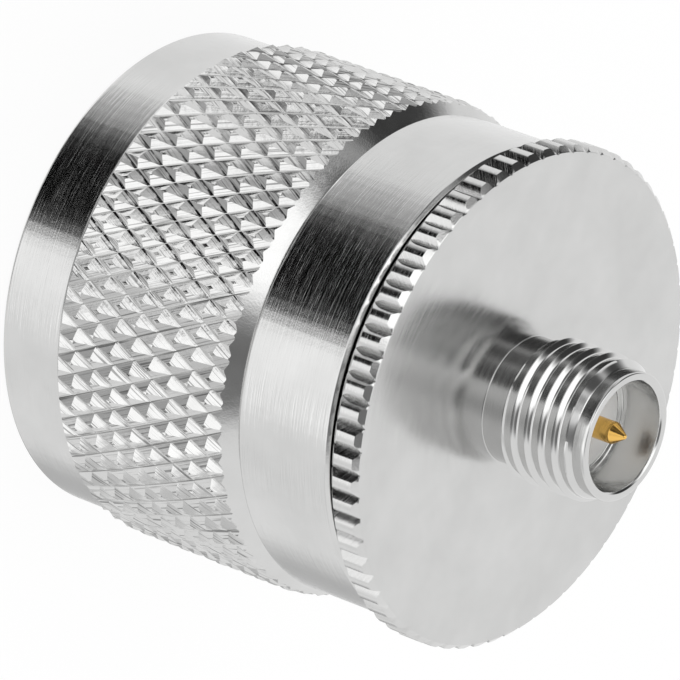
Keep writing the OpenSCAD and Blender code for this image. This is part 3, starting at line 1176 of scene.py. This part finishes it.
@dataclass
class Fillings:
    """What fills the adapter: two insulators, the sealing ring and the snap ring.

    Attributes:
        bead: Outer radius of the plug's insulator.
        bead_bottom: Height of its front.
        bead_top: Height of its inner end.
        bead_web: Height of the lower side of its web.
        shank_hole: Radius of its hole for the shank.
        stem_hole: Radius of both insulators' holes for the stem.
        collar: Radius of the collar on the jack's insulator.
        collar_bottom: Height of the collar's lower side.
        collar_top: Height of its upper side.
        core: Radius of the jack's insulator.
        core_top: Height of its face.
        core_web: Height of the lower side of its web.
        pin_hole: Radius of its hole for the jack's pin.
        seal: Outer radius of the sealing ring.
        seal_hole: Inner radius of the sealing ring.
        seal_bottom: Height of its lower side.
        seal_top: Height of its upper side.
    """

    bead: float = 3.5
    bead_bottom: float = 10.3
    bead_top: float = 15.9
    bead_web: float = 15.1
    shank_hole: float = 1.54
    stem_hole: float = 0.655
    collar: float = 2.9
    collar_bottom: float = 15.92
    collar_top: float = 16.92
    core: float = 2.05
    core_top: float = 22.85
    core_web: float = 22.45
    pin_hole: float = 0.495
    seal: float = 6.2
    seal_hole: float = 4.04
    seal_bottom: float = 11.3
    seal_top: float = 12.8

    def build(self) -> list[bpy.types.Object]:
        """Builds the insulators and the sealing ring, and dresses the snap ring's own solid.

        Returns:
            The pieces.
        """
        plug = rounded(
            [
                (self.shank_hole, self.bead_bottom, 0.08),
                (self.bead, self.bead_bottom, 0.1),
                (self.bead, self.bead_top, 0.03),
                (self.stem_hole, self.bead_top, 0.02),
                (self.stem_hole, self.bead_web, 0.02),
                (self.shank_hole, self.bead_web, 0.02),
            ]
        )
        jack = rounded(
            [
                (self.stem_hole, self.collar_bottom, 0.02),
                (self.collar, self.collar_bottom, 0.03),
                (self.collar, self.collar_top, 0.03),
                (self.core, self.collar_top, 0.02),
                (self.core, self.core_top, 0.05),
                (self.pin_hole, self.core_top, 0.04),
                (self.pin_hole, self.core_web, 0.02),
                (self.stem_hole, self.core_web, 0.02),
            ]
        )
        ring = rounded(
            [
                (self.seal_hole, self.seal_bottom, 0.3),
                (self.seal, self.seal_bottom, 0.3),
                (self.seal, self.seal_top, 0.15),
                (self.seal_hole, self.seal_top, 0.15),
            ],
            6,
        )
        white, red = WHITE_INSULATOR.material(), RED_SILICONE.material()
        plug_bead = dressed(turned_skin(plug).to_object("plug_bead"), [white])
        jack_bead = dressed(turned_skin(jack).to_object("jack_bead"), [white])
        sealing_ring = dressed(turned_skin(ring).to_object("sealing_ring"), [red])
        snap_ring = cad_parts["snap_ring"]
        snap_ring.data.materials.clear()
        dressed(snap_ring, [SPRING_STEEL.material()])
        LOG.info("snap_ring: packed solid, dressed")
        return [
            placed(plug_bead, Body.ADAPTER, "plug_insulator"),
            placed(jack_bead, Body.ADAPTER, "jack_insulator"),
            placed(sealing_ring, Body.ADAPTER, "seal"),
        ]


# Stage


@dataclass(frozen=True)
class Panel:
    """A soft round patch of light or dark in the studio round the object.

    Attributes:
        azimuth: Direction round the object, in degrees from the camera's side.
        elevation: Direction above the horizon, in degrees.
        half: Angle from its middle to its edge, in degrees.
        soft: Half the width of its blurred edge, in degrees.
        level: Its brightness, where 1 is white.
        above: Whether it ends at the horizon, like a wall behind a table.
    """

    azimuth: float
    elevation: float
    half: float
    soft: float
    level: float
    above: bool = False

    def towards(self, camera_side: float) -> Vector:
        """Unit vector to the panel's middle, for a camera side given as an angle from +X."""
        a, e = math.radians(camera_side + self.azimuth), math.radians(self.elevation)
        return Vector((math.cos(e) * math.cos(a), math.cos(e) * math.sin(a), math.sin(e)))


@dataclass
class Studio:
    """Floor, light and camera.

    Attributes:
        camera_side: Angle of the camera's side, in degrees from +X.
        camera_height: Angle of the camera above the horizon, in degrees.
        roll: Turn of the camera about its line of sight, in degrees.
        distance: Distance from the camera to the flange's face along the line of sight.
        across: Where the middle of the face lies right of the line of sight.
        below: Where it lies below the line of sight.
        face: Height of the flange's face.
        lens: Focal length for a sensor 36 mm wide.
        white: Level of the studio's white walls.
        horizon: Elevation of the edge between the table and the walls, in degrees.
        haze: Half the width of that edge's blur, in degrees.
        shadow: Share of the floor's look that comes from the light that falls on it.
        panels: Patches of light and dark in the studio.
    """

    camera_side: float = -87.57
    camera_height: float = 35.04
    roll: float = -110.18
    distance: float = 329.31
    across: float = 7.55
    below: float = 2.46
    face: float = 19.5
    lens: float = 423.5
    white: float = 0.96
    horizon: float = -13.8
    haze: float = 1.2
    shadow: float = 0.12
    panels: tuple[Panel, ...] = (
        Panel(-50.0, 62.0, 25.0, 8.0, 1.6),
        Panel(-38.0, -20.0, 14.0, 5.0, 1.45),
        Panel(-12.0, -20.0, 14.0, 5.0, 1.45),
        Panel(14.0, -20.0, 14.0, 5.0, 1.45),
        Panel(38.0, -20.0, 13.0, 5.0, 1.45),
        Panel(-77.0, -19.0, 10.0, 5.0, 0.48),
        Panel(-48.0, 2.0, 27.0, 6.0, 0.25, True),
        Panel(-66.0, 30.0, 15.0, 7.0, 0.1),
        Panel(-32.0, 30.0, 13.0, 6.0, 0.1),
        Panel(36.0, 53.0, 17.0, 7.0, 0.2),
        Panel(74.0, -15.0, 14.0, 8.0, 0.72),
        Panel(142.0, -26.0, 12.0, 6.0, 1.25),
        Panel(148.0, -40.0, 14.0, 11.0, 0.55),
        Panel(14.0, -64.0, 16.0, 7.0, 0.47),
        Panel(-117.0, 31.0, 23.0, 9.0, 0.05),
        Panel(-17.0, 35.0, 8.0, 3.0, 0.03),
        Panel(-57.0, -36.0, 12.0, 9.0, 0.45),
        Panel(-41.0, -36.0, 10.0, 7.0, 0.05),
        Panel(-27.0, -37.0, 12.0, 6.0, 0.0),
        Panel(-12.0, -37.0, 12.0, 6.0, 0.0),
        Panel(20.0, -35.0, 9.0, 7.0, 1.22),
        Panel(-79.0, -55.0, 14.0, 5.0, 1.3),
        Panel(-52.0, -68.0, 9.0, 4.0, 0.2),
    )

    def camera(self) -> None:
        """Places the camera by its angles and rolls it about its line of sight."""
        side, height, roll = (math.radians(v) for v in (self.camera_side, self.camera_height, self.roll))
        towards = Vector((math.cos(side), math.sin(side), 0.0))
        sideways = Vector((-math.sin(side), math.cos(side), 0.0))
        up = Vector((0.0, 0.0, 1.0))
        forward = -towards * math.cos(height) - up * math.sin(height)
        level_down = towards * math.sin(height) - up * math.cos(height)
        right = sideways * math.cos(roll) + level_down * math.sin(roll)
        down = level_down * math.cos(roll) - sideways * math.sin(roll)
        eye = up * self.face - right * self.across - down * self.below - forward * self.distance
        data = bpy.data.cameras.new("camera")
        data.lens, data.sensor_width = self.lens, 36.0
        data.clip_start, data.clip_end = 0.01, 20.0
        camera = bpy.data.objects.new("camera", data)
        turn = Matrix((right, -down, -forward)).transposed().to_4x4()
        camera.matrix_world = Matrix.Translation(eye * MM) @ turn
        bpy.context.scene.collection.objects.link(camera)
        bpy.context.scene.camera = camera

    def floor(self) -> None:
        """Lays a plain pale floor that keeps the object's shadow and looks white elsewhere."""
        span = np.linspace(-3.0, 3.0, 5)
        x, y = (part.reshape(-1) for part in np.meshgrid(span, span))
        grid = np.arange(25).reshape(5, 5)
        cells = np.stack([grid[:-1, :-1], grid[:-1, 1:], grid[1:, 1:], grid[1:, :-1]], -1).reshape(-1, 4)
        mesh = bpy.data.meshes.new("floor")
        mesh.from_pydata(np.stack([x, y, np.full(25, -2e-5)], -1).tolist(), [], cells.tolist())
        floor = bpy.data.objects.new("floor", mesh)
        material = bpy.data.materials.new("pale_floor")
        material.use_nodes = True
        sheet = NodeSheet(material.node_tree)
        path = sheet.add("ShaderNodeLightPath")
        seen = sheet.add(
            "ShaderNodeMath",
            {0: path.outputs["Is Camera Ray"], 1: path.outputs["Is Glossy Ray"]},
            operation="ADD",
        )
        seen = sheet.add(
            "ShaderNodeMath",
            {0: seen.outputs[0], 1: path.outputs["Is Transmission Ray"]},
            operation="ADD",
            use_clamp=True,
        )
        share = sheet.add(
            "ShaderNodeMath", {0: seen.outputs[0], 1: 1.0 - self.shadow}, operation="MULTIPLY"
        )
        matt = sheet.add("ShaderNodeBsdfDiffuse", {"Color": (0.93, 0.93, 0.93, 1.0)})
        white = sheet.add("ShaderNodeEmission", {"Color": (1.0, 1.0, 1.0, 1.0), "Strength": 1.03})
        mix = sheet.add("ShaderNodeMixShader", {0: share.outputs[0], 1: matt.outputs[0], 2: white.outputs[0]})
        sheet.add("ShaderNodeOutputMaterial", {"Surface": mix.outputs[0]})
        mesh.materials.append(material)
        bpy.context.scene.collection.objects.link(floor)
        floor.visible_glossy = False

    def light(self) -> None:
        """Surrounds the object with white walls, with soft panels of light and dark in them."""
        world = bpy.data.worlds.new("studio")
        bpy.context.scene.world = world
        world.use_nodes = True
        sheet = NodeSheet(world.node_tree)
        direction = sheet.add("ShaderNodeTexCoord").outputs["Generated"]
        height = sheet.add("ShaderNodeSeparateXYZ", {"Vector": direction}).outputs["Z"]
        edges = [math.sin(math.radians(self.horizon + side * self.haze)) for side in (-1.0, 1.0)]
        upper = sheet.add(
            "ShaderNodeMapRange",
            {"Value": height, "From Min": edges[0], "From Max": edges[1]},
            interpolation_type="SMOOTHSTEP",
        )
        level: bpy.types.NodeSocket | float = self.white
        for panel in self.panels:
            towards = sheet.add(
                "ShaderNodeVectorMath",
                {0: direction, 1: panel.towards(self.camera_side)},
                operation="DOT_PRODUCT",
            )
            inside = sheet.add(
                "ShaderNodeMapRange",
                {
                    "Value": towards.outputs["Value"],
                    "From Min": math.cos(math.radians(panel.half + panel.soft)),
                    "From Max": math.cos(math.radians(panel.half - panel.soft)),
                },
                interpolation_type="SMOOTHSTEP",
            )
            share = inside.outputs["Result"]
            if panel.above:
                cut = sheet.add(
                    "ShaderNodeMath", {0: share, 1: upper.outputs["Result"]}, operation="MULTIPLY"
                )
                share = cut.outputs[0]
            mix = sheet.add("ShaderNodeMix", {0: share, 2: level, 3: panel.level}, data_type="FLOAT")
            level = mix.outputs[0]
        path = sheet.add("ShaderNodeLightPath")
        seen = sheet.add(
            "ShaderNodeMix", {0: path.outputs["Is Camera Ray"], 2: level, 3: 1.0}, data_type="FLOAT"
        )
        sky = sheet.add("ShaderNodeBackground", {"Strength": seen.outputs[0]})
        sky.inputs["Color"].default_value = (1.0, 1.0, 1.0, 1.0)
        sheet.add("ShaderNodeOutputWorld", {"Surface": sky.outputs["Background"]})

    def build(self) -> None:
        """Builds the camera, the floor and the light."""
        self.camera()
        self.floor()
        self.light()
        bpy.context.scene.view_settings.view_transform = "Standard"


def main() -> None:
    """Builds the stage and the pieces in order."""
    logging.basicConfig(level=logging.INFO, format="%(name)s: %(message)s")
    Studio().build()
    CouplingNut().build(Knurl())
    AdapterBody().build()
    Contacts().build()
    Fillings().build()


if __name__ == "__main__":
    main()
